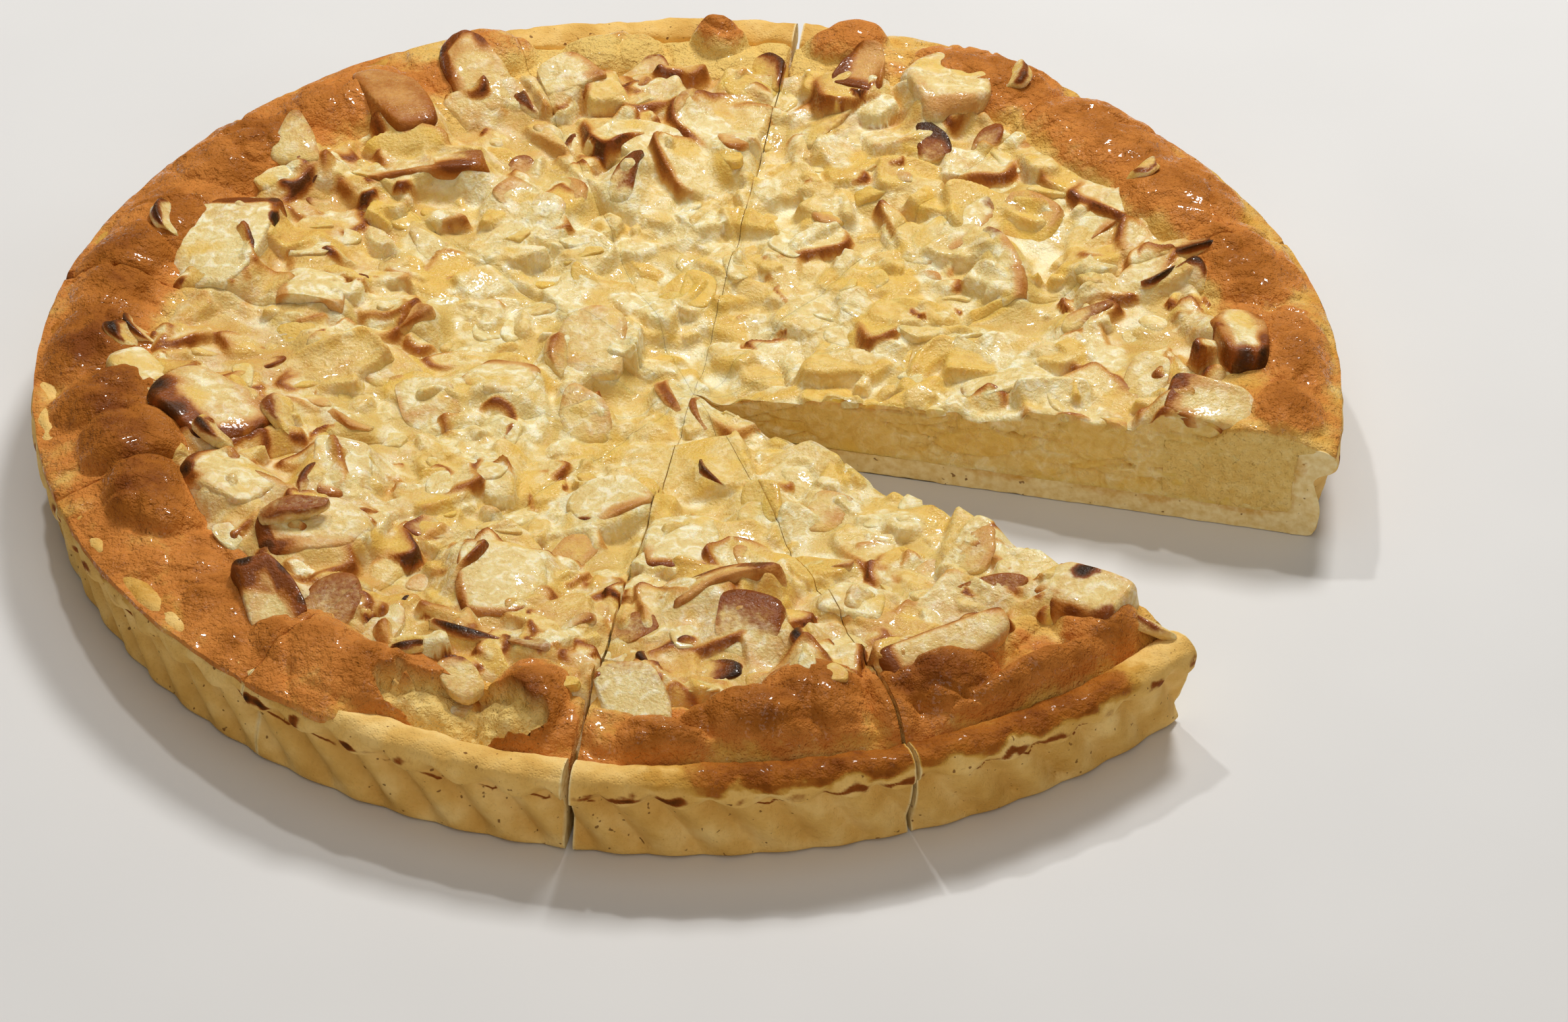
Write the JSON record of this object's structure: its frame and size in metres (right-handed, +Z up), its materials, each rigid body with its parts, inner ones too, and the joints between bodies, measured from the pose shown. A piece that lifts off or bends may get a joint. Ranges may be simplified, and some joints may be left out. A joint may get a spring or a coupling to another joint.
{
  "type": "apple pie",
  "caption": "Round open apple pie with a fluted short crust, browned batter rim and dished filling of apple pieces, cut in slices with one wedge taken out.",
  "frame": {"origin": "on the axis of the pie, on the flat base where it meets the table", "axes": "+Z up out of the top of the pie; +X to the right and +Y to the back when the open wedge is at the right front; the wedge opens towards about 27 degrees below +X"},
  "size_m": [0.28, 0.28, 0.031],
  "materials": {
    "crust": "matte, lightly baked short crust with browned and burnt patches",
    "batter": "golden to deep brown baked batter with a thin sugar glaze",
    "filling": "moist pale yellow apple in set custard, glazed",
    "apple": "moist pale apple flesh with browned edges, glazed"
  },
  "bodies": {
    "root": {"apple_01": "apple", "apple_02": "apple", "apple_03": "apple", "apple_04": "apple", "apple_05": "apple", "apple_06": "apple", "apple_07": "apple", "apple_08": "apple", "apple_09": "apple", "apple_10": "apple", "apple_11": "apple", "apple_12": "apple", "apple_13": "apple", "apple_14": "apple", "apple_15": "apple", "apple_16": "apple", "apple_17": "apple", "apple_18": "apple", "apple_19": "apple", "apple_20": "apple", "apple_21": "apple", "apple_22": "apple", "apple_23": "apple", "apple_24": "apple", "apple_25": "apple", "apple_26": "apple", "apple_27": "apple", "batter_01": "batter", "batter_02": "batter", "batter_03": "batter", "batter_04": "batter", "batter_05": "batter", "batter_06": "batter", "batter_07": "batter", "batter_08": "batter", "batter_09": "batter", "batter_10": "batter", "batter_11": "batter", "crust_01": "crust", "crust_02": "crust", "crust_03": "crust", "crust_04": "crust", "crust_05": "crust", "crust_06": "crust", "crust_07": "crust", "crust_08": "crust", "crust_09": "crust", "crust_10": "crust", "crust_11": "crust", "filling_01": "filling", "filling_02": "filling", "filling_03": "filling", "filling_04": "filling", "filling_05": "filling", "filling_06": "filling", "filling_07": "filling", "filling_08": "filling", "filling_09": "filling", "filling_10": "filling", "filling_11": "filling"}
  },
  "joints": []
}
